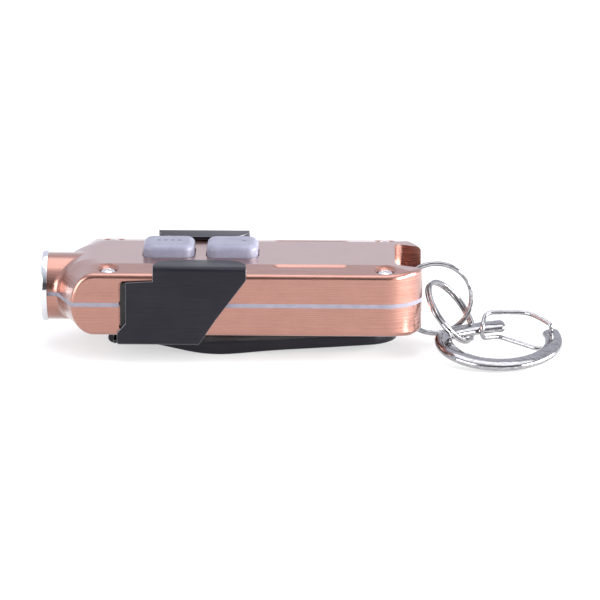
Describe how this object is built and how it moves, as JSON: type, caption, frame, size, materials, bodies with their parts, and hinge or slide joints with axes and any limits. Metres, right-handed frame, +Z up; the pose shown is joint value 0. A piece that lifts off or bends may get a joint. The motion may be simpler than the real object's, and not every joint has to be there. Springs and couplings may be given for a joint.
{
  "type": "keychain flashlight",
  "caption": "Flat two-shell pocket light with keys on top, a folded spring clip, a tail eye, split rings and a snap hook closed by a wire gate.",
  "frame": {"origin": "centre of the bezel ring, on the axis of the head", "axes": "+X from the head to the tail, +Y across the body away from the charging port, +Z up through the keys; the clip's tongue is below"},
  "size_m": [0.0852, 0.03, 0.0174],
  "materials": {
    "copper": "brushed, copper-coloured, satin",
    "seam_plastic": "translucent, satin",
    "steel": "satin",
    "polished_steel": "polished",
    "lens_glass": "clear, polished",
    "black_rubber": "matte",
    "mirror_metal": "polished",
    "emitter": "satin",
    "white_board": "matte",
    "green_board": "satin",
    "switch_metal": "satin",
    "clear_silicone": "satin",
    "key_plastic": "translucent, soft satin",
    "cell_foil": "satin",
    "lead_sheath": "satin",
    "ferrite": "matte",
    "chip_black": "matte",
    "black_steel": "satin, dark coating",
    "ring_chrome": "polished"
  },
  "bodies": {
    "body": {"upper_shell": "copper", "lower_shell": "copper", "mid_frame": "seam_plastic", "case_screws": "steel", "bezel_ring": "polished_steel", "lens": "lens_glass", "lens_seal": "black_rubber", "reflector": "mirror_metal", "led_emitter": "emitter", "led_board": "white_board", "main_board": "green_board", "mode_switch": "switch_metal", "power_switch": "switch_metal", "dome_sheet": "clear_silicone", "usb_port": "polished_steel", "port_board": "green_board", "usb_cover": "black_rubber", "battery_cell": "cell_foil", "battery_pad": "black_rubber", "battery_leads": "lead_sheath", "inductor": "ferrite", "charge_chip": "chip_black", "status_leds": "emitter", "clip_saddle": "black_steel"},
    "mode_key": {"mode_key": "key_plastic"},
    "power_key": {"power_key": "key_plastic"},
    "tongue": {"clip_tongue": "black_steel"},
    "body_ring": {"body_ring": "ring_chrome"},
    "link_ring": {"link_ring": "ring_chrome"},
    "hook": {"snap_hook": "ring_chrome"},
    "gate": {"snap_gate": "ring_chrome"}
  },
  "joints": [
    {"name": "mode_key_press", "type": "slide", "parent": "body", "child": "mode_key", "axis": [0, 0, -1], "range_m": [0, 0.00035], "stiffness_N_per_m": 4000},
    {"name": "power_key_press", "type": "slide", "parent": "body", "child": "power_key", "axis": [0, 0, -1], "range_m": [0, 0.00035], "stiffness_N_per_m": 4000},
    {"name": "clip_flex", "type": "hinge", "parent": "body", "child": "tongue", "pos_m": [0.0114, 0, -0.007], "axis": [0, 1, 0], "range_deg": [0, 5], "stiffness_Nm_per_rad": 2},
    {"name": "body_ring_swing", "type": "hinge", "parent": "body", "child": "body_ring", "pos_m": [0.059, 0, 0], "axis": [0, 0, 1], "range_deg": [-3, 35]},
    {"name": "link_ring_swing", "type": "hinge", "parent": "body_ring", "child": "link_ring", "pos_m": [0.06896, 0.00062, -0.00513], "axis": [0.5435, 0.0351, 0.8387], "range_deg": [0, 20]},
    {"name": "hook_swing", "type": "hinge", "parent": "link_ring", "child": "hook", "pos_m": [0.06938, -0.00453, -0.0077], "axis": [-0.4236, -0.8909, 0.164], "range_deg": [-2, 20]},
    {"name": "gate_open", "type": "hinge", "parent": "hook", "child": "gate", "pos_m": [0.08286, -0.00577, -0.00664], "axis": [0, -0.1822, 0.9833], "range_deg": [0, 20], "stiffness_Nm_per_rad": 0.02}
  ]
}
